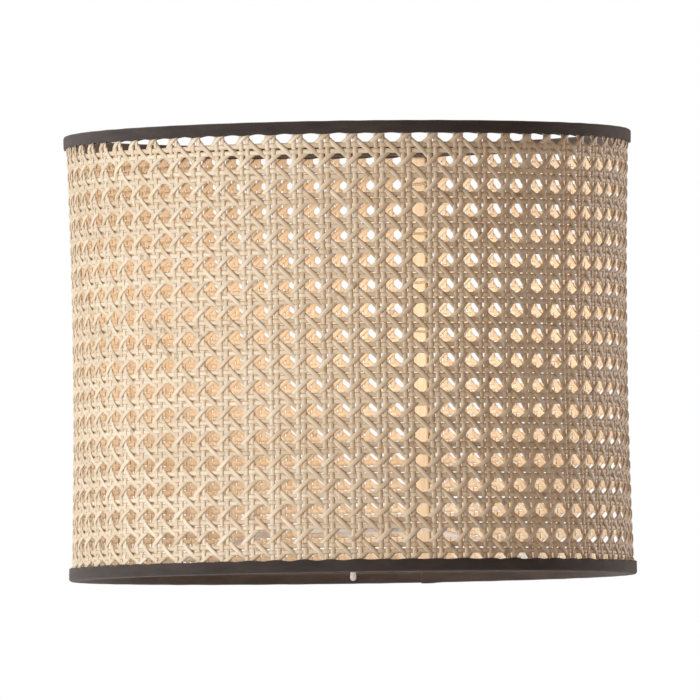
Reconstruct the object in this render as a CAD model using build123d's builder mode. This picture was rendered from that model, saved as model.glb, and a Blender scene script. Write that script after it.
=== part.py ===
from build123d import *
import math
import os

# A drum lamp shade of woven cane. Its bottom rim stands on the plane Z = 0 and its axis is Z.
# -Y is the front. Lengths are in millimetres and angles in degrees.

# ---- driving dimensions ----
SHADE_RADIUS = 150.0          # outside of the folded trim tape
SHADE_HEIGHT = 235.0          # over both trims
TRIM_HEIGHT = 6.5             # how far the tape reaches along the wall
TAPE_THICKNESS = 1.0          # fabric tape with its glue
TAPE_FOLD_RADIUS = 0.9        # rounding of the tape's two folds
WEB_THICKNESS = 2.2           # the weave is two to three strands deep
WEB_WAIST = 2.2               # the unsupported wall pulls in this far at mid-height
ROW_PITCH = 13.03             # distance between the weave's rows of holes
SEAM_ANGLE = 75.0             # the sheet's two ends meet here, at the back
STRIP_WIDTH = 9.0             # flat cane strips that clamp the seam
STRIP_THICKNESS = 0.9
THREAD = 0.9                  # thickness of the lashing thread
LASHED_ROWS = (1.5, 3.5, 5.5, 7.5)    # row pitches from mid-height to each lashing, up and down
HOOP_WIRE = 3.5               # diameter of the wire of both hoops
SPOKE_WIRE = 3.0              # diameter of the wire of the spokes
SPOKE_ANGLES = (90.0, 210.0, 330.0)
SPOKE_LEVEL_RUN = 14.0        # level stretch at each end of a spoke, before its bend
SPOKE_BEND_RADIUS = 12.0
FITTER_HOLE_RADIUS = 21.0     # passes the threaded skirt of an E27 lampholder
FITTER_RADIUS = 28.0          # outside of the fitter's turned-down rim
FITTER_SHEET = 1.2            # steel sheet of the fitter
FITTER_EDGE_RADIUS = 1.08     # rounding of its pressed edge
FITTER_RIM_HEIGHT = 5.5       # rim of the fitter, plate included
FITTER_SEAT_HEIGHT = 28.0     # underside of the fitter's plate
GAP = 0.1                     # clearance between pieces that lie against each other

# ---- worked-out dimensions ----
WEB_RADIUS = SHADE_RADIUS - TAPE_THICKNESS - GAP          # outside of the web at its edges
WEB_BOTTOM = TAPE_THICKNESS + GAP
WEB_TOP = SHADE_HEIGHT - WEB_BOTTOM
MIDDLE = SHADE_HEIGHT / 2
HOOP_RADIUS = WEB_RADIUS - WEB_THICKNESS - GAP - HOOP_WIRE / 2
HOOP_RISE = WEB_BOTTOM + HOOP_WIRE / 2                    # hoop's centre above its rim
TRIM_INNER_RADIUS = HOOP_RADIUS - HOOP_WIRE / 2 - GAP - TAPE_THICKNESS
STRIP_BOTTOM = TRIM_HEIGHT + GAP
STRIP_TOP = SHADE_HEIGHT - STRIP_BOTTOM
STRIP_TURN = math.degrees(STRIP_WIDTH / WEB_RADIUS)
LASHING_WIDTH = STRIP_WIDTH + 2 * (GAP + THREAD)
LASHING_DEPTH = WEB_THICKNESS + 2 * (2 * GAP + STRIP_THICKNESS + GAP + THREAD)
FITTER_TOP = FITTER_SEAT_HEIGHT + FITTER_SHEET
SPOKE_END_HEIGHT = FITTER_TOP - FITTER_RIM_HEIGHT / 2


def web_radius(height):
    """Outside radius of the waisted web at a height above the bottom rim."""
    half_span = (WEB_TOP - WEB_BOTTOM) / 2
    across = (height - MIDDLE) / half_span
    return WEB_RADIUS - WEB_WAIST * (1 - across**2)


def wall_outline(outside, thickness, low, high):
    """Closed outline of a waisted wall whose outside stands `outside` proud of the web."""
    outer = []
    inner = []
    for height in (low, MIDDLE, high):
        radius = web_radius(height) + outside
        outer.append((radius, height))
        inner.append((radius - thickness, height))
    ThreePointArc(*outer)
    Line(outer[2], inner[2])
    ThreePointArc(*reversed(inner))
    Line(inner[0], outer[0])


def trim_outline():
    """U section of the bottom trim: the tape folds round the hoop and the web's edge."""
    cavity_inner = TRIM_INNER_RADIUS + TAPE_THICKNESS
    cavity_outer = SHADE_RADIUS - TAPE_THICKNESS
    Polyline(
        (TRIM_INNER_RADIUS, TRIM_HEIGHT),
        (TRIM_INNER_RADIUS, 0),
        (SHADE_RADIUS, 0),
        (SHADE_RADIUS, TRIM_HEIGHT),
        (cavity_outer, TRIM_HEIGHT),
        (cavity_outer, TAPE_THICKNESS),
        (cavity_inner, TAPE_THICKNESS),
        (cavity_inner, TRIM_HEIGHT),
        close=True,
    )


def save(solid, name):
    """Label a finished piece and write it as the node of that name."""
    solid.label = name
    export_step(solid, f"parts/{name}.step")


os.makedirs("parts", exist_ok=True)

# ---- lashings: rectangular thread loops round both seam strips, through the weave ----
seam_plane = Plane.XY.rotated((0, 0, SEAM_ANGLE))
lashing_heights = [MIDDLE + side * rows * ROW_PITCH for side in (-1, 1) for rows in LASHED_ROWS]
lashing_places = [
    Location((web_radius(height) - WEB_THICKNESS / 2, 0, height)) for height in lashing_heights
]

with BuildPart(seam_plane) as seam_lashings:
    with Locations(*lashing_places):
        Box(LASHING_DEPTH, LASHING_WIDTH, THREAD)
        Box(LASHING_DEPTH - 2 * THREAD, LASHING_WIDTH - 2 * THREAD, THREAD, mode=Mode.SUBTRACT)
save(seam_lashings.part, "seam_lashings")

# Room for the threads, cut through the wall where they pass between its strands.
with BuildPart(seam_plane) as lashing_slots:
    for side in (-1, 1):
        with Locations(*lashing_places):
            with Locations((0, side * (LASHING_WIDTH - THREAD) / 2, 0)):
                Box(WEB_THICKNESS + 4 * GAP, THREAD + 2 * GAP, THREAD + 2 * GAP)

# ---- cane webbing: a plain waisted wall of the weave's true outer shape ----
with BuildPart() as cane_webbing:
    with BuildSketch(Plane.XZ.rotated((0, 0, SEAM_ANGLE))):
        with BuildLine():
            wall_outline(0, WEB_THICKNESS, WEB_BOTTOM, WEB_TOP)
        make_face()
    revolve(axis=Axis.Z)
    add(lashing_slots.part, mode=Mode.SUBTRACT)
save(cane_webbing.part, "cane_webbing")

# ---- seam strips: flat cane on both faces of the wall, centred on the seam ----
strip_start = Plane.XZ.rotated((0, 0, SEAM_ANGLE - STRIP_TURN / 2))

with BuildPart() as seam_strip_outer:
    with BuildSketch(strip_start):
        with BuildLine():
            wall_outline(GAP + STRIP_THICKNESS, STRIP_THICKNESS, STRIP_BOTTOM, STRIP_TOP)
        make_face()
    revolve(axis=Axis.Z, revolution_arc=STRIP_TURN)
save(seam_strip_outer.part, "seam_strip_outer")

with BuildPart() as seam_strip_inner:
    with BuildSketch(strip_start):
        with BuildLine():
            wall_outline(-WEB_THICKNESS - GAP, STRIP_THICKNESS, STRIP_BOTTOM, STRIP_TOP)
        make_face()
    revolve(axis=Axis.Z, revolution_arc=STRIP_TURN)
save(seam_strip_inner.part, "seam_strip_inner")

# ---- hoops: welded wire rings inside the trims ----
with BuildPart() as bottom_hoop:
    with BuildSketch(Plane.XZ):
        with Locations((HOOP_RADIUS, HOOP_RISE)):
            Circle(HOOP_WIRE / 2)
    revolve(axis=Axis.Z)
save(bottom_hoop.part, "bottom_hoop")

with BuildPart() as top_hoop:
    with BuildSketch(Plane.XZ):
        with Locations((HOOP_RADIUS, SHADE_HEIGHT - HOOP_RISE)):
            Circle(HOOP_WIRE / 2)
    revolve(axis=Axis.Z)
save(top_hoop.part, "top_hoop")

# ---- fitter ring: a pressed plate with a turned-down rim ----
with BuildPart() as fitter_ring:
    with BuildSketch(Plane.XZ):
        with BuildLine():
            Polyline(
                (FITTER_HOLE_RADIUS, FITTER_SEAT_HEIGHT),
                (FITTER_RADIUS - FITTER_SHEET, FITTER_SEAT_HEIGHT),
                (FITTER_RADIUS - FITTER_SHEET, FITTER_TOP - FITTER_RIM_HEIGHT),
                (FITTER_RADIUS, FITTER_TOP - FITTER_RIM_HEIGHT),
                (FITTER_RADIUS, FITTER_TOP),
                (FITTER_HOLE_RADIUS, FITTER_TOP),
                close=True,
            )
        make_face()
    revolve(axis=Axis.Z)
    top_edges = fitter_ring.edges().filter_by(GeomType.CIRCLE).group_by(Axis.Z)[-1]
    fillet(top_edges.sort_by(SortBy.RADIUS)[-1], radius=FITTER_EDGE_RADIUS)
save(fitter_ring.part, "fitter_ring")

# ---- spokes: wire arms, butt-welded to the hoop and to the fitter's rim ----
for number, angle in enumerate(SPOKE_ANGLES, start=1):
    with BuildPart() as spoke:
        with BuildLine(Plane.XY.rotated((0, 0, angle))) as spoke_path:
            FilletPolyline(
                (HOOP_RADIUS - GAP, 0, HOOP_RISE),
                (HOOP_RADIUS - SPOKE_LEVEL_RUN, 0, HOOP_RISE),
                (FITTER_RADIUS + SPOKE_LEVEL_RUN, 0, SPOKE_END_HEIGHT),
                (FITTER_RADIUS - FITTER_SHEET, 0, SPOKE_END_HEIGHT),
                radius=SPOKE_BEND_RADIUS,
            )
        with BuildSketch(Plane(origin=spoke_path.line @ 0, z_dir=spoke_path.line % 0)):
            Circle(SPOKE_WIRE / 2)
        sweep()
        # Both ends are cut to the round shapes that they butt against.
        add(bottom_hoop.part, mode=Mode.SUBTRACT)
        with Locations((0, 0, SPOKE_END_HEIGHT)):
            Cylinder(FITTER_RADIUS, 2 * SPOKE_WIRE, mode=Mode.SUBTRACT)
    save(spoke.part, f"spoke_{number}")

# ---- trims: black tape folded over each end; the lower one is snipped for the spokes ----
with BuildPart() as bottom_trim:
    with BuildSketch(Plane.XZ):
        with BuildLine():
            trim_outline()
        make_face()
    revolve(axis=Axis.Z)
    rim_edges = bottom_trim.edges().filter_by(GeomType.CIRCLE).group_by(Axis.Z)[0]
    fillet(rim_edges, radius=TAPE_FOLD_RADIUS)
    notch_low = HOOP_RISE - SPOKE_WIRE / 2 - GAP
    notch_width = SPOKE_WIRE + 2 * GAP
    leg_radius = TRIM_INNER_RADIUS + TAPE_THICKNESS / 2
    with PolarLocations(leg_radius, len(SPOKE_ANGLES), start_angle=SPOKE_ANGLES[0]):
        with Locations((0, 0, (notch_low + TRIM_HEIGHT) / 2)):
            Box(2 * TAPE_THICKNESS, notch_width, TRIM_HEIGHT - notch_low, mode=Mode.SUBTRACT)
save(bottom_trim.part, "bottom_trim")

with BuildPart() as top_trim:
    with BuildSketch(Plane.XZ):
        with BuildLine():
            trim_outline()
        make_face()
    revolve(axis=Axis.Z)
    rim_edges = top_trim.edges().filter_by(GeomType.CIRCLE).group_by(Axis.Z)[0]
    fillet(rim_edges, radius=TAPE_FOLD_RADIUS)
    mirror(about=Plane.XY.offset(MIDDLE), mode=Mode.REPLACE)
save(top_trim.part, "top_trim")
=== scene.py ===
import bmesh
import bpy
import math
import numpy as np
from mathutils import Matrix, Vector


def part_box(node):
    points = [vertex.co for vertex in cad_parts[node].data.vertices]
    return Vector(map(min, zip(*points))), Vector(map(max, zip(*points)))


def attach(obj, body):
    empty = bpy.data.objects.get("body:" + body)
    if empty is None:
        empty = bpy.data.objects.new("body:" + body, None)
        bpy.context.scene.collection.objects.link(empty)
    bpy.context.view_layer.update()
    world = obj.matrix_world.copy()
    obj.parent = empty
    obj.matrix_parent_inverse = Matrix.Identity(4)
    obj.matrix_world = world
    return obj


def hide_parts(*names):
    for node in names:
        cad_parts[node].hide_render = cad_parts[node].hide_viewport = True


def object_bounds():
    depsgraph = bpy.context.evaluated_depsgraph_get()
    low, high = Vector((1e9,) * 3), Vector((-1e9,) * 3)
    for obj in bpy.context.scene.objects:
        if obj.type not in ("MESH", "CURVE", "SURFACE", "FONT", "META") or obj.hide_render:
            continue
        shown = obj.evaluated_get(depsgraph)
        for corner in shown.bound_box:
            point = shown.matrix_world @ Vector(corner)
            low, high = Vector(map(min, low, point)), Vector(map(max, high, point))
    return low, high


# A drum lamp shade of woven cane, in metres. Its axis is Z, its bottom rim is at Z = 0 and -Y is its front.
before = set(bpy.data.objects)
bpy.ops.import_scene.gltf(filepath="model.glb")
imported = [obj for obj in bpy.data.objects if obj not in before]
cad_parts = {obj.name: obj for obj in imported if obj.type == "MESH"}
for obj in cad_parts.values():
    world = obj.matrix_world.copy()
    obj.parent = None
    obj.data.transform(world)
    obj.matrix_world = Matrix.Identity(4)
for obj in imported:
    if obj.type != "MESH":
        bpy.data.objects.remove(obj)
CAD_LOW, CAD_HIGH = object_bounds()
MM = 0.001
RNG = np.random.default_rng(seed=7)

# ---- sizes read from the frame ----
HEIGHT = CAD_HIGH.z
MIDDLE = HEIGHT / 2
SHADE_RADIUS = CAD_HIGH.x
WEB_LOW, WEB_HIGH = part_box("cane_webbing")
TRIM_LOW, TRIM_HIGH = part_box("bottom_trim")
TRIM_HEIGHT = TRIM_HIGH.z - TRIM_LOW.z
HOOP_LOW, HOOP_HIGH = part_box("bottom_hoop")
HOOP_WIRE = HOOP_HIGH.z - HOOP_LOW.z
HOOP_RADIUS = HOOP_HIGH.x - HOOP_WIRE / 2         # to the middle of the wire
HOOP_RISE = HOOP_LOW.z + HOOP_WIRE / 2            # from the rim to the middle of the wire
SPOKE_LOW, SPOKE_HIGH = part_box("spoke_1")
SPOKE_WIRE = SPOKE_HIGH.x - SPOKE_LOW.x
SPOKE_ANGLES = (90, 210, 330)
FITTER_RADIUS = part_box("fitter_ring")[1].x

# ---- the weave ----
WEB_THICKNESS = 2.2 * MM
WEB_WAIST = 2.2 * MM              # the wall pulls in this far at mid-height
WEB_EDGE_RADIUS = WEB_HIGH.x      # outside of the weave at its two edges
WEB_BOTTOM = WEB_LOW.z
WEB_TOP = WEB_HIGH.z
ROWS = 18                         # rows of holes, of which the first and last are half hidden by the trims
ROW_PITCH = 13.03 * MM
ROWS_LOW = 0.8 * MM               # the rows sit this much below the middle of the wall
FIRST_ROW = MIDDLE - ROWS_LOW - (ROWS - 1) / 2 * ROW_PITCH
ROW_SAG = 1.6 * MM                # the rows hang this much lower at the back, at mid-height
COLUMN_TURN = 5.5625              # degrees from one column of holes to the next
COLUMN_PHASE = -1.85              # degrees from the front to the nearest column of holes
COLUMN_DRIFT_LEFT = 0.15          # degrees that the columns have crept by the back, going round the left
COLUMN_DRIFT_RIGHT = 2.20         # and going round the right
SEAM_TURN = 165.0                 # degrees from the front, to the right, to the seam
SEAM_ANGLE = math.radians(SEAM_TURN - 90)
FIRST_COLUMN = -34.70             # the sheet's two ends, counted in columns from the front
LAST_COLUMN = 30.38
PAIR_COLUMNS = np.arange(math.ceil(FIRST_COLUMN - 0.5), math.floor(LAST_COLUMN - 0.5) + 1) + 0.5
PAIR_HALF_GAP = 1.65 * MM         # from the middle of a pair to the middle of each of its strands


def web_radius(z):
    """Radius of the middle of the weave at height z."""
    across = (z - MIDDLE) / (WEB_TOP - MIDDLE)
    return WEB_EDGE_RADIUS - WEB_THICKNESS / 2 - WEB_WAIST * (1 - across**2)


WAIST_RADIUS = web_radius(MIDDLE)
COLUMN_PITCH = math.radians(COLUMN_TURN) * WAIST_RADIUS


def column_angle(u):
    """Angle about Z, in radians, of column coordinate u. Holes are at whole numbers."""
    turn = np.radians(COLUMN_PHASE + COLUMN_TURN * u)
    drift = np.radians(np.where(turn > 0, COLUMN_DRIFT_RIGHT, COLUMN_DRIFT_LEFT))
    return turn - drift * (1 - np.cos(turn)) / 2 - math.pi / 2


def sagged(angle, z):
    """Height of a row whose height at the front is z, at an angle about Z."""
    across = (z - MIDDLE) / MIDDLE
    return z - ROW_SAG * (1 + np.sin(angle)) / 2 * (1 - across**4)


def on_web(u, z, lift):
    """Points of the weave at column u and height z, lifted outwards from its middle."""
    angle = column_angle(u)
    z = sagged(angle, z)
    radius = web_radius(z) + lift
    return np.stack([radius * np.cos(angle), radius * np.sin(angle), z], axis=-1)


# ---- meshes ----
TUBE_SIDES = 8
# Half-oval section of a cane strand, as (across, up) from -0.5 to 0.5. Its flat core is inside and its
# rounded skin outside.
STRAND_SECTION = np.array(
    [
        (-0.42, -0.5), (0.42, -0.5), (0.5, -0.15), (0.36, 0.3),
        (0.13, 0.5), (-0.13, 0.5), (-0.36, 0.3), (-0.5, -0.15),
    ]
)


def unit(v):
    """Vectors of length 1 along v."""
    return v / np.linalg.norm(v, axis=-1, keepdims=True)


def distance_along(points):
    """How far each point lies from the first, along the line through them."""
    steps = np.linalg.norm(np.diff(points, axis=0), axis=1)
    return np.concatenate([[0], np.cumsum(steps)])


def wander(steps, size, waves):
    """A slow, smooth, seeded wander of about the given size along a strand."""
    t = np.linspace(0, 1, steps)
    parts = 3
    total = np.zeros(steps)
    for _ in range(parts):
        total += np.sin(2 * math.pi * (RNG.uniform(0.3, 1) * waves * t + RNG.random()))
    return size * total / parts


def radial(angle):
    """Unit vectors outwards and sideways at an angle about Z."""
    out = np.array([math.cos(angle), math.sin(angle), 0])
    aside = np.array([-math.sin(angle), math.cos(angle), 0])
    return out, aside


def new_mesh_object(name, vertices, faces):
    """A smooth-shaded mesh object in the scene."""
    mesh = bpy.data.meshes.new(name)
    mesh.from_pydata([tuple(v) for v in vertices], [], [tuple(f) for f in faces])
    mesh.validate()
    mesh.polygons.foreach_set("use_smooth", [True] * len(mesh.polygons))
    obj = bpy.data.objects.new(name, mesh)
    bpy.context.scene.collection.objects.link(obj)
    return obj


def add_marks(obj, name, marks):
    """Stores three numbers at each vertex, for the material to read."""
    attribute = obj.data.attributes.new(name, "FLOAT_VECTOR", "POINT")
    attribute.data.foreach_set("vector", marks.ravel())


def face_outwards(obj):
    """Turns every face's normal out of its solid."""
    mesh = bmesh.new()
    mesh.from_mesh(obj.data)
    bmesh.ops.recalc_face_normals(mesh, faces=mesh.faces)
    mesh.to_mesh(obj.data)
    mesh.free()


def sweep_faces(rings, sides, start, closed):
    """Quads between successive rings of a swept profile, and its two end caps if it is open."""
    ring = np.arange(rings if closed else rings - 1)
    side = np.arange(sides)
    a = start + ring[:, None] * sides + side[None, :]
    b = start + ring[:, None] * sides + (side[None, :] + 1) % sides
    after = (ring + 1) % rings
    c = start + after[:, None] * sides + (side[None, :] + 1) % sides
    d = start + after[:, None] * sides + side[None, :]
    quads = np.stack([a, b, c, d], axis=-1).reshape(-1, 4).tolist()
    if not closed:
        quads.append([start + s for s in reversed(range(sides))])
        quads.append([start + (rings - 1) * sides + s for s in range(sides)])
    return quads


class Strands:
    """Collects swept shapes of one kind and makes them one mesh."""

    def __init__(self, name):
        self.name = name
        self.vertices = []
        self.marks = []
        self.faces = []
        self.count = 0

    def add(self, rings, marks, closed):
        """Adds one swept shape: its sections' points, and the marks that its material reads there."""
        steps, sides = rings.shape[:2]
        self.vertices.append(rings.reshape(-1, 3))
        self.marks.append(marks.reshape(-1, 3))
        self.faces += sweep_faces(steps, sides, self.count, closed)
        self.count += steps * sides

    def add_cane(self, points, width, thickness, facing=1):
        """Sweeps the cane section along points. Its rounded skin faces outwards, or inwards at facing -1."""
        tangent = unit(np.gradient(points, axis=0))
        outward = facing * points * np.array([1.0, 1.0, 0.0])
        across = unit(np.cross(tangent, unit(outward)))
        up = np.cross(across, tangent)
        section_x = STRAND_SECTION[None, :, 0, None] * width
        section_y = STRAND_SECTION[None, :, 1, None] * thickness
        rings = points[:, None, :] + across[:, None, :] * section_x + up[:, None, :] * section_y
        seed = RNG.random()
        marks = np.empty(rings.shape)
        marks[..., 0] = distance_along(points)[:, None] + seed
        marks[..., 1] = STRAND_SECTION[None, :, 0]
        marks[..., 2] = seed
        self.add(rings, marks, closed=False)

    def add_tube(self, points, radius, reference, closed):
        """Sweeps a round section along points. reference is a direction that the path never runs along."""
        if closed:
            tangent = unit(np.roll(points, -1, axis=0) - np.roll(points, 1, axis=0))
        else:
            tangent = unit(np.gradient(points, axis=0))
        across = unit(np.cross(tangent, reference))[:, None, :]
        up = np.cross(across, tangent[:, None, :])
        angle = np.arange(TUBE_SIDES) * 2 * math.pi / TUBE_SIDES
        radius = np.broadcast_to(radius, len(points))[:, None, None]
        ring = np.cos(angle)[None, :, None] * across + np.sin(angle)[None, :, None] * up
        rings = points[:, None, :] + radius * ring
        marks = np.empty(rings.shape)
        marks[..., 0] = distance_along(points)[:, None]
        marks[..., 1] = angle[None, :] / (2 * math.pi)
        marks[..., 2] = RNG.random()
        self.add(rings, marks, closed)

    def make(self):
        obj = new_mesh_object(self.name, np.concatenate(self.vertices), self.faces)
        add_marks(obj, "strand", np.concatenate(self.marks))
        return obj


# ---- the six families of strands ----
STRAND_WIDTH = 2.6 * MM
STRAND_WIDTH_SPREAD = 0.035       # standard deviation, as a share of the width
STRAND_THICKNESS = 0.75 * MM
CROSSING_LIFT = STRAND_THICKNESS / 2
UPRIGHT_WANDER = 0.12 * MM
HOOP_STRAND_WANDER = 0.15 * MM
DIAGONAL_WANDER = 0.12 * MM
DIAGONAL_STEPS = 10               # points along a diagonal for each row of holes
DIAGONAL_FLATNESS = 0.15          # how much a diagonal's wave flattens where it lies on a pair
# Where an upright or a hoop strand bends, beside each crossing, in halves of a pair's gap.
BEND_PLACES = np.array([-3.0, -1.9, -1.35, -0.9, -0.4, 0.4, 0.9, 1.35, 1.9, 3.0])


def crossing_wave(distance):
    """How a strand dips and rises at a crossing of pairs: -1 at one strand of the pair, 1 at the other."""
    x = distance / PAIR_HALF_GAP
    return x * np.exp((1 - x**2) / 2)


def bends(crossings, spread, first, last, margin):
    """Places along a strand from first to last where it bends, and the crossing nearest to each."""
    places = (crossings[:, None] + BEND_PLACES[None, :] * spread).ravel()
    places = places[(places > first + margin) & (places < last - margin)]
    places = np.concatenate([[first], places, [last]])
    nearest = np.abs(places[:, None] - crossings[None, :]).argmin(axis=1)
    return places, crossings[nearest]


def strand_width():
    return STRAND_WIDTH * RNG.normal(1, STRAND_WIDTH_SPREAD)


def make_uprights(name, side):
    """The left (-1) or right (1) strand of each vertical pair."""
    strands = Strands(name)
    crossings = FIRST_ROW + (np.arange(-1, ROWS) + 0.5) * ROW_PITCH
    z, crossing = bends(crossings, PAIR_HALF_GAP, WEB_BOTTOM, WEB_TOP, margin=MM)
    lift = -side * CROSSING_LIFT * crossing_wave(z - crossing)
    for pair in PAIR_COLUMNS:
        u = pair + (side * PAIR_HALF_GAP + wander(len(z), UPRIGHT_WANDER, waves=6)) / COLUMN_PITCH
        strands.add_cane(on_web(u, z, lift), strand_width(), STRAND_THICKNESS)
    return strands.make()


def make_hoop_strands(name, side):
    """The lower (-1) or upper (1) strand of each horizontal pair."""
    strands = Strands(name)
    spread = PAIR_HALF_GAP / COLUMN_PITCH
    u, crossing = bends(PAIR_COLUMNS, spread, FIRST_COLUMN, LAST_COLUMN, margin=0.05)
    lift = side * CROSSING_LIFT * crossing_wave((u - crossing) * COLUMN_PITCH)
    for pair in range(ROWS - 1):
        z = FIRST_ROW + (pair + 0.5) * ROW_PITCH + side * PAIR_HALF_GAP
        z = z + wander(len(u), HOOP_STRAND_WANDER, waves=14)
        strands.add_cane(on_web(u, z, lift), strand_width(), STRAND_THICKNESS)
    return strands.make()


def make_diagonals(name, slope):
    """Single strands that rise to the right (1) or to the left (-1). Rising ones pass outside the vertical
    pairs and inside the horizontal ones, and falling ones the other way."""
    strands = Strands(name)
    low = (WEB_BOTTOM - FIRST_ROW) / ROW_PITCH
    high = (WEB_TOP - FIRST_ROW) / ROW_PITCH
    row = np.linspace(low, high, DIAGONAL_STEPS * ROWS)
    phase = 2 * math.pi * row
    wave = (1 + DIAGONAL_FLATNESS) * np.cos(phase) - DIAGONAL_FLATNESS * np.cos(3 * phase)
    lift = slope * STRAND_THICKNESS * wave
    first = math.floor(FIRST_COLUMN - high) - 1
    last = math.ceil(LAST_COLUMN + high) + 1
    shortest = 4                  # a strand of fewer points would be a stub in the sheet's corner
    for start in range(first, last):
        u = start + 0.5 + slope * row
        inside = (u > FIRST_COLUMN) & (u < LAST_COLUMN)
        if inside.sum() < shortest:
            continue
        side_step = wander(len(row), DIAGONAL_WANDER, waves=5)
        points = on_web(u + side_step / COLUMN_PITCH, FIRST_ROW + row * ROW_PITCH, lift)
        strands.add_cane(points[inside], strand_width(), STRAND_THICKNESS)
    return strands.make()


# ---- the seam ----
STRIP_WIDTH = 9.0 * MM
STRIP_THICKNESS = 0.9 * MM
STRIP_GAP = 0.1 * MM              # between a strip and the weave
STRIP_WANDER = 0.25 * MM
STRIP_STEPS = 120
THREAD_RADIUS = 0.4 * MM
THREAD_TURNS = 2
THREAD_STEPS = 56                 # points in each turn of thread
THREAD_SQUARENESS = 0.4           # below 1, it squares the loop's ellipse
THREAD_LEAN = 0.06                # most that a loop leans, as rise over width
LASHED_ROWS = (1, 3, 5, 7, 10, 12, 14, 16)      # rows of holes, counted up from 0 at the bottom


def make_seam_strip(name, facing):
    """A flat cane strip on the outer (1) or inner (-1) face of the weave, over the sheet's two ends."""
    strip = Strands(name)
    clear = TRIM_HEIGHT + STRIP_GAP
    z = np.linspace(clear, HEIGHT - clear, STRIP_STEPS)
    lift = facing * (WEB_THICKNESS / 2 + STRIP_GAP + STRIP_THICKNESS / 2)
    angle = SEAM_ANGLE + wander(len(z), STRIP_WANDER, waves=3) / WAIST_RADIUS
    radius = web_radius(z) + lift
    points = np.stack([radius * np.cos(angle), radius * np.sin(angle), z], axis=-1)
    strip.add_cane(points, STRIP_WIDTH, STRIP_THICKNESS, facing)
    return strip.make()


def squared(wave):
    """A sine or cosine with its round top flattened."""
    return np.sign(wave) * np.abs(wave) ** THREAD_SQUARENESS


def make_lashings(name):
    """Two turns of waxed thread round both seam strips, at about every second row of holes."""
    threads = Strands(name)
    half_depth = WEB_THICKNESS / 2 + 2 * STRIP_GAP + STRIP_THICKNESS + THREAD_RADIUS
    half_width = STRIP_WIDTH / 2 + THREAD_RADIUS + STRIP_GAP
    t = np.linspace(0, 2 * math.pi * THREAD_TURNS, THREAD_STEPS * THREAD_TURNS)
    depth = half_depth * squared(np.cos(t))
    width = half_width * squared(np.sin(t))
    rise = np.linspace(-1, 1, len(t)) * THREAD_RADIUS * THREAD_TURNS / 2
    out, aside = radial(SEAM_ANGLE)
    for row in LASHED_ROWS:
        z = sagged(SEAM_ANGLE, FIRST_ROW + row * ROW_PITCH)
        lean = RNG.uniform(-THREAD_LEAN, THREAD_LEAN)
        points = out * (web_radius(z) + depth)[:, None] + aside * width[:, None]
        points[:, 2] = z + rise + lean * width
        threads.add_tube(points, THREAD_RADIUS, np.array([0, 0, 1.0]), closed=False)
    return threads.make()


# ---- the welds ----
WELD_RADIUS = 0.55 * MM
WELD_GAP = 0.1 * MM               # from the metal to the middle of the bead
WELD_STEPS = 24


def make_welds(name):
    """A lumpy bead of weld round each spoke where it meets the fitter's rim."""
    beads = Strands(name)
    height = SPOKE_HIGH.z - SPOKE_WIRE / 2
    reach = SPOKE_WIRE / 2 + WELD_GAP
    t = np.arange(WELD_STEPS) * 2 * math.pi / WELD_STEPS
    across = (reach * np.cos(t))[:, None]
    rise = (reach * np.sin(t))[:, None]
    for degrees in SPOKE_ANGLES:
        out, aside = radial(math.radians(degrees))
        centre = out * (FITTER_RADIUS + WELD_GAP) + np.array([0, 0, height])
        points = centre + aside * across + np.array([0, 0, 1]) * rise
        # Each bead's ripple starts elsewhere, so that no two are alike.
        lumps = 1 + 0.15 * np.sin(5 * t + degrees) + 0.1 * np.sin(8 * t)
        beads.add_tube(points, WELD_RADIUS * lumps, out, closed=True)
    return beads.make()


# ---- the trims ----
TAPE_THICKNESS = 0.9 * MM
TAPE_FOLD = 1.4 * MM              # rounding of the tape's folds under the rim
TAPE_FACE_GAP = 1.1 * MM          # from the hoop to the tape's face, inside the drum
TRIM_INNER_RADIUS = HOOP_RADIUS - HOOP_WIRE / 2 - TAPE_FACE_GAP
TAPE_LEG_STEPS = 7
TAPE_FOLD_STEPS = 4
TAPE_HOOP_STEPS = 7
TAPE_LEG_FOOT = 1.6 * MM          # height of the outer leg's lowest point, just above its fold
TAPE_STEPS = 40 * ROWS            # cross-sections round the drum
TAPE_OVERLAP = 0.5 * MM           # of the tape's last end over its first
TAPE_JOIN_LENGTH = 9 * MM         # over which the last end rises, to lie on the first
TAPE_JOIN_LIFT = 0.45 * MM
TAPE_JOIN_EASE = 1.5              # lengths of the join, from the tape's end to where it starts to lift
TAPE_SNIP_GAP = 0.15 * MM         # round a spoke, where the inner leg is snipped for it
TAPE_SNIP_DEPTH = 0.98            # share of the inner leg's height that a snip takes away
TAPE_PUFF = 0.07 * MM             # how far the fold bulges
TAPE_DIP = 0.22 * MM              # how far the outer leg's edge sinks into a hole
TAPE_DIP_FROM = 2 * MM            # height where it starts to
TAPE_RIPPLE = 0.072 * MM
TAPE_EDGE_SCALLOP = 0.28 * MM     # how far the tape's edges bow at each hole
TAPE_EDGE_WANDER = 0.25 * MM
TAPE_BESIDE_EDGE = 0.6            # share of an edge's bow that the points next to it follow
TAPE_BACK_SHARE = 0.25            # share of the face's bulges that the tape's back follows


def quarter_turn(steps):
    """Angles of a quarter circle, without its first point."""
    return np.linspace(0, math.pi / 2, steps + 1)[1:]


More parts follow.
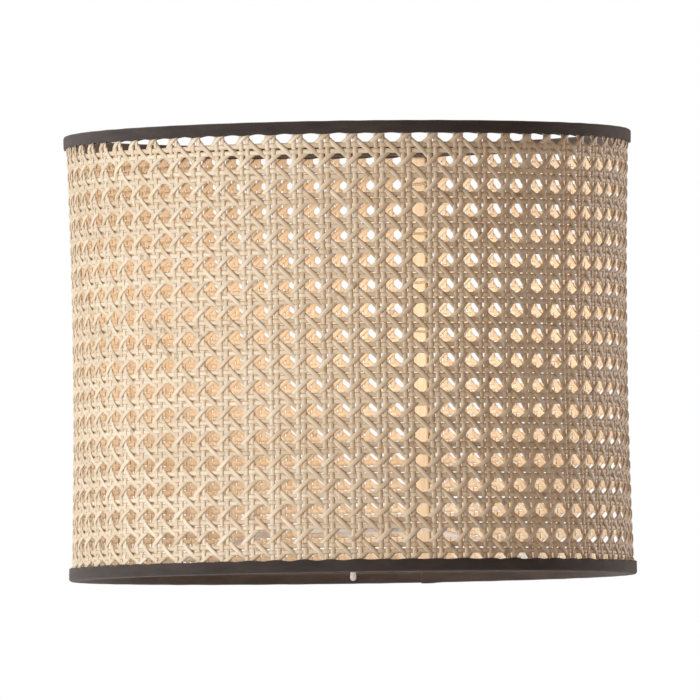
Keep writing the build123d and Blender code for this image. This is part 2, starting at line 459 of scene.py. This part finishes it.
def tape_profile():
    """(radius, height) points of the tape's face: down its outer leg, under the rim, up its inner leg, over
    the hoop, and up a short lip that is glued to the weave."""
    leg = np.linspace(TRIM_HEIGHT, TAPE_LEG_FOOT, TAPE_LEG_STEPS)
    outer_leg = np.stack([np.full(len(leg), SHADE_RADIUS), leg], axis=-1)
    turn = quarter_turn(TAPE_FOLD_STEPS)
    across = TAPE_FOLD * (1 - np.cos(turn))
    down = TAPE_FOLD * (1 - np.sin(turn))
    outer_fold = np.stack([SHADE_RADIUS - across, down], axis=-1)
    inner_fold = np.stack([TRIM_INNER_RADIUS + across, down], axis=-1)[::-1]
    reach = HOOP_RADIUS - TRIM_INNER_RADIUS
    turn = np.linspace(0, math.pi / 2, TAPE_HOOP_STEPS)
    over_hoop = np.stack([HOOP_RADIUS - reach * np.cos(turn), HOOP_RISE + reach * np.sin(turn)], axis=-1)
    lip = WEB_EDGE_RADIUS - WEB_THICKNESS - TAPE_THICKNESS - HOOP_RADIUS
    turn = quarter_turn(TAPE_FOLD_STEPS)
    up_weave = np.stack([lip * np.sin(turn), reach + lip * (1 - np.cos(turn))], axis=-1)
    up_weave += (HOOP_RADIUS, HOOP_RISE)
    return np.concatenate([outer_leg, outer_fold, inner_fold, over_hoop, up_weave])


def tape_steps(snipped):
    """Angles of the trim's cross-sections, and whether each is cut for a spoke: 0 for no, 1 for yes."""
    angle = SEAM_ANGLE + np.linspace(0, 2 * math.pi + TAPE_OVERLAP / SHADE_RADIUS, TAPE_STEPS)
    if not snipped:
        return angle, np.zeros(TAPE_STEPS)
    half_cut = (SPOKE_WIRE / 2 + TAPE_SNIP_GAP) / TRIM_INNER_RADIUS
    wall = TAPE_SNIP_GAP / 2 / TRIM_INNER_RADIUS
    half = np.array([half_cut / 2, half_cut, half_cut + wall])
    cut = np.concatenate([-half[::-1], [0], half])
    places = np.radians(SPOKE_ANGLES)
    places = np.where(places < SEAM_ANGLE, places + 2 * math.pi, places)
    for place in places:
        angle = angle[np.abs(angle - place) > half_cut + 2 * wall]
        angle = np.concatenate([angle, place + cut])
    angle = np.sort(angle)
    away = np.min(np.abs(angle[:, None] - places[None, :]), axis=1)
    return angle, (away < half_cut + wall / 2).astype(float)


def holes_beside(angle):
    """1 where a column of holes meets the trim, and -1 where a pair of uprights does."""
    columns = np.arange(FIRST_COLUMN - 2, LAST_COLUMN + 2, 0.25)
    from_front = (angle + 1.5 * math.pi) % (2 * math.pi) - 1.5 * math.pi
    return np.cos(2 * math.pi * np.interp(from_front, column_angle(columns), columns))


def snip(section, cut):
    """Takes the inner leg of a section away, in place, where it is cut for a spoke."""
    count = section.shape[1] // 2
    inner_leg = np.arange(count) >= TAPE_LEG_STEPS + TAPE_FOLD_STEPS + 1
    above = np.maximum(section[..., 1] - (SPOKE_LOW.z - TAPE_SNIP_GAP), 0)
    beyond = np.maximum(section[..., 0] - TRIM_INNER_RADIUS - TAPE_THICKNESS, 0)
    taken = np.concatenate([inner_leg, inner_leg[::-1]]) * (above > 0) * cut[:, None]
    section[..., 0] -= TAPE_SNIP_DEPTH * beyond * taken
    section[..., 1] -= TAPE_SNIP_DEPTH * above * taken


def make_trim(name, top):
    """Black tape folded over a rim. It is pressed on the weave, so its edges follow the holes a little."""
    profile = tape_profile()
    count = len(profile)
    edge = unit(np.gradient(profile, axis=0))
    outward = np.stack([-edge[:, 1], edge[:, 0]], axis=-1)
    angle, cut = tape_steps(snipped=not top)
    steps = len(angle)
    holes = holes_beside(angle)
    travelled = (angle - SEAM_ANGLE) * SHADE_RADIUS
    to_join = (travelled[-1] - travelled) / TAPE_JOIN_LENGTH
    join = TAPE_JOIN_LIFT * np.clip(TAPE_JOIN_EASE - to_join, 0, 1) ** 2
    up_leg = np.clip((profile[:, 1] - TAPE_DIP_FROM) / (TRIM_HEIGHT - TAPE_DIP_FROM), 0, 1)
    up_leg *= np.arange(count) < TAPE_LEG_STEPS
    puff = TAPE_PUFF * np.sin(np.linspace(0, math.pi, count))
    dip = -TAPE_DIP * (0.5 + 0.5 * holes)[:, None] * up_leg[None, :] ** 2
    ripple = np.stack([wander(steps, TAPE_RIPPLE, waves=60) for _ in range(count)], axis=1)
    lift = puff[None, :] + dip + ripple + join[:, None]
    on_edge = np.zeros(count)
    on_edge[[0, -1]] = 1
    on_edge[[1, -2]] = TAPE_BESIDE_EDGE
    edge_bow = wander(steps, TAPE_EDGE_WANDER, waves=90) - TAPE_EDGE_SCALLOP * holes
    edge_rise = edge_bow[:, None] * on_edge[None, :]
    face = profile[None] + lift[..., None] * outward[None]
    back = profile[None] - (TAPE_THICKNESS - TAPE_BACK_SHARE * lift[..., None]) * outward[None]
    section = np.concatenate([face, back[:, ::-1]], axis=1)
    section[..., 1] += np.concatenate([edge_rise, edge_rise[:, ::-1]], axis=1)
    snip(section, cut)
    height = HEIGHT - section[..., 1] if top else section[..., 1]
    east = section[..., 0] * np.cos(angle)[:, None]
    north = section[..., 0] * np.sin(angle)[:, None]
    points = np.stack([east, north, height], axis=-1)
    trim = new_mesh_object(name, points.reshape(-1, 3), sweep_faces(steps, 2 * count, 0, closed=False))
    around = distance_along(profile)
    marks = np.empty(points.shape)
    marks[..., 0] = travelled[:, None]
    marks[..., 1] = np.concatenate([around, around[::-1]])[None, :]
    marks[..., 2] = 1.0 * top
    add_marks(trim, "tape", marks)
    return trim


# ---- materials ----
class Shader:
    """A node material, with short ways to add nodes to it."""

    def __init__(self, name):
        self.material = bpy.data.materials.new(name)
        self.material.use_nodes = True
        self.tree = self.material.node_tree
        self.surface = self.tree.nodes["Principled BSDF"]

    def node(self, kind, **values):
        made = self.tree.nodes.new(kind)
        for key, value in values.items():
            setattr(made, key, value)
        return made

    def link(self, output, target):
        self.tree.links.new(output, target)

    def marks(self, name):
        """The three numbers that add_marks stored at each vertex: together, then one by one."""
        vector = self.node("ShaderNodeAttribute", attribute_name=name).outputs["Vector"]
        split = self.node("ShaderNodeSeparateXYZ")
        self.link(vector, split.inputs[0])
        return vector, *split.outputs

    def math(self, operation, a, b=None, c=None):
        made = self.node("ShaderNodeMath", operation=operation)
        for socket, value in zip(made.inputs, (a, b, c)):
            if value is None:
                continue
            if isinstance(value, (int, float)):
                socket.default_value = value
            else:
                self.link(value, socket)
        return made.outputs[0]

    def noise(self, vector, scale=1.0, detail=2.0, roughness=0.5):
        made = self.node("ShaderNodeTexNoise")
        made.inputs["Scale"].default_value = scale
        made.inputs["Detail"].default_value = detail
        made.inputs["Roughness"].default_value = roughness
        self.link(vector, made.inputs["Vector"])
        return made.outputs["Fac"]

    def stretched(self, vector, scale):
        made = self.node("ShaderNodeVectorMath", operation="MULTIPLY")
        self.link(vector, made.inputs[0])
        made.inputs[1].default_value = scale
        return made.outputs[0]

    def ramp(self, factor, *stops):
        """Colours between stops, each a place from 0 to 1 and its colour."""
        made = self.node("ShaderNodeValToRGB")
        ramp = made.color_ramp
        while len(ramp.elements) < len(stops):
            ramp.elements.new(0.5)
        for element, (place, colour) in zip(ramp.elements, stops):
            element.position = place
            element.color = (*colour, 1)
        self.link(factor, made.inputs["Fac"])
        return made.outputs["Color"]

    def mix(self, factor, a, b, blend="MIX"):
        made = self.node("ShaderNodeMix", data_type="RGBA", blend_type=blend)
        sockets = (made.inputs["Factor"], made.inputs["A"], made.inputs["B"])
        for socket, value in zip(sockets, (factor, a, b)):
            if isinstance(value, (int, float)):
                socket.default_value = value
            elif isinstance(value, tuple):
                socket.default_value = (*value, 1)
            else:
                self.link(value, socket)
        return made.outputs["Result"]

    def bump(self, height, strength, distance):
        made = self.node("ShaderNodeBump")
        made.inputs["Strength"].default_value = strength
        made.inputs["Distance"].default_value = distance
        self.link(height, made.inputs["Height"])
        self.link(made.outputs["Normal"], self.surface.inputs["Normal"])

    def set(self, **values):
        for key, value in values.items():
            self.surface.inputs[key.replace("_", " ")].default_value = value


GROWTH_MARKS_PER_METRE = 4.3
GROWTH_MARK_SHARE = 0.012         # share of a strand's length that the marks darken
THREAD_TWIST = 1.6 * MM           # length of one turn of the thread's two plies
RIB_PITCH = 0.7 * MM              # the tape's ribs, along it
WEFT_PITCH = 0.45 * MM            # and the threads across them


def make_cane(name, pale, deep):
    """Peeled cane: each strand its own tone, fine grain along it, darker growth marks and a satin skin."""
    s = Shader(name)
    marks, along, across, seed = s.marks("strand")
    grain = s.noise(s.stretched(marks, (60, 9, 40)), detail=4, roughness=0.6)
    patches = s.noise(s.stretched(marks, (14, 0.2, 23)))
    tone = s.math("MULTIPLY_ADD", patches, 0.7, -0.2)
    tone = s.math("ADD", tone, s.math("MULTIPLY", seed, 0.5))
    colour = s.ramp(tone, (0.15, pale), (0.85, deep))
    streaks = s.ramp(grain, (0.35, (0.82, 0.76, 0.68)), (0.6, (1, 1, 1)))
    colour = s.mix(0.8, colour, streaks, "MULTIPLY")
    place = s.math("FRACT", s.math("MULTIPLY", along, GROWTH_MARKS_PER_METRE))
    growth_mark = s.math("LESS_THAN", place, GROWTH_MARK_SHARE)
    colour = s.mix(s.math("MULTIPLY", growth_mark, 0.45), colour, (0.25, 0.14, 0.06))
    # Painted shade: each strand darkens towards its two flanks, where its rounded sides turn away and meet
    # the strands beside it.
    edge = s.math("POWER", s.math("MULTIPLY", s.math("ABSOLUTE", across), 2), 6)
    colour = s.mix(s.math("MULTIPLY", edge, 0.35), colour, (0.36, 0.22, 0.11))
    s.link(colour, s.surface.inputs["Base Color"])
    s.link(s.math("MULTIPLY_ADD", grain, 0.3, 0.3), s.surface.inputs["Roughness"])
    s.set(Specular_IOR_Level=0.45, Coat_Weight=0.12, Coat_Roughness=0.35)
    s.bump(grain, strength=0.25, distance=0.1 * MM)
    return s.material


def make_thread(name):
    """Two-ply waxed thread: its twist shows as slanting ridges, and painted shade darkens the grooves
    between its plies.
    """
    s = Shader(name)
    _, along, around, _ = s.marks("strand")
    twist_along = s.math("MULTIPLY", along, 2 * math.pi / THREAD_TWIST)
    twist = s.math("ADD", twist_along, s.math("MULTIPLY", around, 4 * math.pi))
    ply = s.math("ABSOLUTE", s.math("SINE", s.math("MULTIPLY", twist, 0.5)))
    # Painted shade: the colour turns dark brown in the grooves between the plies and pale on their crests.
    colour = s.ramp(ply, (0.0, (0.24, 0.17, 0.10)), (0.6, (0.66, 0.54, 0.38)))
    s.link(colour, s.surface.inputs["Base Color"])
    s.set(Roughness=0.55, Sheen_Weight=0.15)
    s.bump(ply, strength=0.8, distance=0.2 * MM)
    return s.material


def make_tape(name):
    """Black woven tape: ribs across it, a little dust and wear, and a soft sheen."""
    s = Shader(name)
    marks, along, across, _ = s.marks("tape")
    ribs = s.math("SINE", s.math("MULTIPLY", along, 2 * math.pi / RIB_PITCH))
    threads = s.math("SINE", s.math("MULTIPLY", across, 2 * math.pi / WEFT_PITCH))
    weave = s.math("MULTIPLY_ADD", s.math("MULTIPLY", ribs, threads), 0.25, 0.5)
    fuzz = s.noise(s.stretched(marks, (900, 900, 900)), detail=3)
    dust = s.noise(s.stretched(marks, (45, 160, 45)), detail=4, roughness=0.6)
    colour = s.ramp(dust, (0.3, (0.019, 0.012, 0.010)), (0.75, (0.060, 0.043, 0.036)))
    colour = s.mix(s.math("MULTIPLY", weave, 0.5), colour, (0.055, 0.040, 0.034))
    s.link(colour, s.surface.inputs["Base Color"])
    s.set(Roughness=0.82, Sheen_Weight=0.25, Sheen_Roughness=0.5, Specular_IOR_Level=0.3)
    s.bump(s.math("ADD", weave, s.math("MULTIPLY", fuzz, 0.6)), strength=0.8, distance=0.2 * MM)
    return s.material


def make_powder_coat(name):
    """Off-white powder coat over steel: fine orange peel and faint grey rubs."""
    s = Shader(name)
    place = s.node("ShaderNodeTexCoord").outputs["Object"]
    peel = s.noise(place, scale=1400)
    rubs = s.noise(place, scale=60, detail=5, roughness=0.65)
    colour = s.ramp(rubs, (0.3, (0.70, 0.68, 0.63)), (0.5, (0.83, 0.81, 0.77)))
    s.link(colour, s.surface.inputs["Base Color"])
    s.link(s.math("MULTIPLY_ADD", rubs, 0.25, 0.3), s.surface.inputs["Roughness"])
    s.bump(peel, strength=0.2, distance=0.08 * MM)
    return s.material


def make_floor_paint(name):
    """Matt pale paint, slightly cloudy."""
    s = Shader(name)
    place = s.node("ShaderNodeTexCoord").outputs["Object"]
    clouds = s.noise(place, scale=1.5, detail=3)
    colour = s.ramp(clouds, (0.3, (0.75, 0.80, 0.84)), (0.7, (0.79, 0.84, 0.88)))
    s.link(colour, s.surface.inputs["Base Color"])
    s.set(Roughness=0.9)
    return s.material


# ---- the pieces ----
def finish_piece(piece, material, slot, *nodes):
    """Gives a piece its material, lets it stand for its CAD nodes and ride on the shade. slot is not used.
    """
    face_outwards(piece)
    piece.data.materials.append(material)
    if nodes:
        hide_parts(*nodes)
    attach(piece, "root")


cane = make_cane("cane", pale=(0.785, 0.675, 0.515), deep=(0.61, 0.465, 0.31))
weave_pieces = [
    make_uprights("uprights_left", -1),
    make_uprights("uprights_right", 1),
    make_hoop_strands("hoop_strands_lower", -1),
    make_hoop_strands("hoop_strands_upper", 1),
    make_diagonals("diagonals_rising", 1),
    make_diagonals("diagonals_falling", -1),
]
for piece in weave_pieces:
    finish_piece(piece, cane, "cane", "cane_webbing")
finish_piece(make_seam_strip("seam_strip_outer_cane", 1), cane, "cane", "seam_strip_outer")
finish_piece(make_seam_strip("seam_strip_inner_cane", -1), cane, "cane", "seam_strip_inner")
finish_piece(make_lashings("seam_threads"), make_thread("waxed_thread"), "thread", "seam_lashings")

tape = make_tape("black_tape")
for name, top in (("top_trim", True), ("bottom_trim", False)):
    trim = make_trim(name + "_tape", top)
    finish_piece(trim, tape, "trim_tape", name)

SPOKES_AND_FITTER = ("spoke_1", "spoke_2", "spoke_3", "fitter_ring")
powder_coat = make_powder_coat("powder_coat")
welds = make_welds("fitter_welds")
finish_piece(welds, powder_coat, "frame")
for name in ("top_hoop", "bottom_hoop", *SPOKES_AND_FITTER):
    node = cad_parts[name]
    node.data.materials.clear()
    node.data.materials.append(powder_coat)

# ---- stage: a pale floor, as far below the shade as a floor lamp holds it ----
FLOOR_DEPTH = 1.29
FLOOR_RADIUS = 60
FLOOR_SIDES = 96
bpy.ops.mesh.primitive_circle_add(
    vertices=FLOOR_SIDES, radius=FLOOR_RADIUS, fill_type="NGON", location=(0, 0, -FLOOR_DEPTH)
)
floor = bpy.context.object
floor.name = "floor"
floor.data.materials.append(make_floor_paint("floor_paint"))

# ---- light ----
SKY_MIDDLE = 0.575                # strength of the soft light straight ahead
SKY_SLOPE = -0.55                 # and its change from there to the far right
SKY_TINTS = ((0.1, (1, 0.45, 0.22)), (0.6, (1, 0.74, 0.56)), (1.0, (0.98, 1.03, 1.07)))   # by strength


def make_sky():
    """White behind the shade, and a soft light that falls off from left to right."""
    world = bpy.data.worlds.new("studio")
    bpy.context.scene.world = world
    world.use_nodes = True
    tree = world.node_tree
    tree.nodes.clear()
    place = tree.nodes.new("ShaderNodeTexCoord")
    split = tree.nodes.new("ShaderNodeSeparateXYZ")
    tree.links.new(place.outputs["Generated"], split.inputs[0])
    falloff = tree.nodes.new("ShaderNodeMath")
    falloff.operation = "MULTIPLY_ADD"
    falloff.inputs[1].default_value = SKY_SLOPE
    falloff.inputs[2].default_value = SKY_MIDDLE
    tree.links.new(split.outputs[0], falloff.inputs[0])
    soft = tree.nodes.new("ShaderNodeBackground")
    tint = tree.nodes.new("ShaderNodeValToRGB")
    tint.color_ramp.elements.new(0.5)
    for element, (at, colour) in zip(tint.color_ramp.elements, SKY_TINTS):
        element.position = at
        element.color = (*colour, 1)
    tree.links.new(falloff.outputs[0], tint.inputs["Fac"])
    tree.links.new(tint.outputs["Color"], soft.inputs["Color"])
    tree.links.new(falloff.outputs[0], soft.inputs["Strength"])
    white = tree.nodes.new("ShaderNodeBackground")
    white.inputs["Color"].default_value = (1, 1, 1, 1)
    white.inputs["Strength"].default_value = 1.0
    path = tree.nodes.new("ShaderNodeLightPath")
    mix = tree.nodes.new("ShaderNodeMixShader")
    tree.links.new(path.outputs["Is Camera Ray"], mix.inputs[0])
    tree.links.new(soft.outputs[0], mix.inputs[1])
    tree.links.new(white.outputs[0], mix.inputs[2])
    out = tree.nodes.new("ShaderNodeOutputWorld")
    tree.links.new(mix.outputs[0], out.inputs[0])


def add_light(name, kind, place, power, colour, size):
    """A light that faces the shade's middle, in watts and metres, and can't be seen itself."""
    data = bpy.data.lights.new(name, kind)
    data.energy = power
    data.color = colour
    if kind == "AREA":
        data.size = size
    else:
        data.shadow_soft_size = size
    light = bpy.data.objects.new(name, data)
    light.location = place
    light.rotation_euler = (Vector((0, 0, MIDDLE)) - Vector(place)).to_track_quat("-Z", "Y").to_euler()
    light.visible_camera = False
    bpy.context.scene.collection.objects.link(light)
    return light


make_sky()
add_light("key_left", "AREA", place=(-2.6, -1.9, -0.1), power=66, colour=(0.96, 1, 1.03), size=1.4)
add_light("rim_right", "AREA", place=(2.6, 2.0, 0.2), power=28, colour=(1, 0.98, 0.98), size=1.2)
bulb_glow = add_light("bulb_glow", "POINT", place=(0, 0, 0.14), power=0.7, colour=(1, 0.83, 0.68), size=0.03)
# A bulb gives little light towards its base, and the lampholder shades the fitter and the spokes.
shaded = bpy.data.collections.new("shaded_by_the_lampholder")
for name in SPOKES_AND_FITTER:
    shaded.objects.link(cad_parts[name])
shaded.objects.link(welds)
bulb_glow.light_linking.receiver_collection = shaded
for member in shaded.collection_objects:
    member.light_linking.link_state = "EXCLUDE"

# ---- camera: below the rim and far off, with the shade filling the picture ----
CAMERA_DISTANCE = 9.5
CAMERA_BELOW_RIM = 0.20
CAMERA_ROLL = 0.8                 # degrees that the shade leans in the picture
PICTURE_WIDTH = 0.37              # metres that the picture spans at the shade
PICTURE_LIFT = 0.003              # from the shade's middle up to the picture's
PICTURE_DEPTH = 200               # metres, past the floor's far edge
camera_data = bpy.data.cameras.new("camera")
camera = bpy.data.objects.new("camera", camera_data)
bpy.context.scene.collection.objects.link(camera)
camera.location = (0, -CAMERA_DISTANCE, -CAMERA_BELOW_RIM)
aim = Vector((0, 0, MIDDLE + PICTURE_LIFT)) - camera.location
turn = aim.to_track_quat("-Z", "Y").to_matrix()
camera.rotation_euler = (turn @ Matrix.Rotation(math.radians(-CAMERA_ROLL), 3, "Z")).to_euler()
camera_data.lens = camera_data.sensor_width * aim.length / PICTURE_WIDTH
camera_data.clip_end = PICTURE_DEPTH
bpy.context.scene.camera = camera
bpy.context.scene.view_settings.view_transform = "Standard"
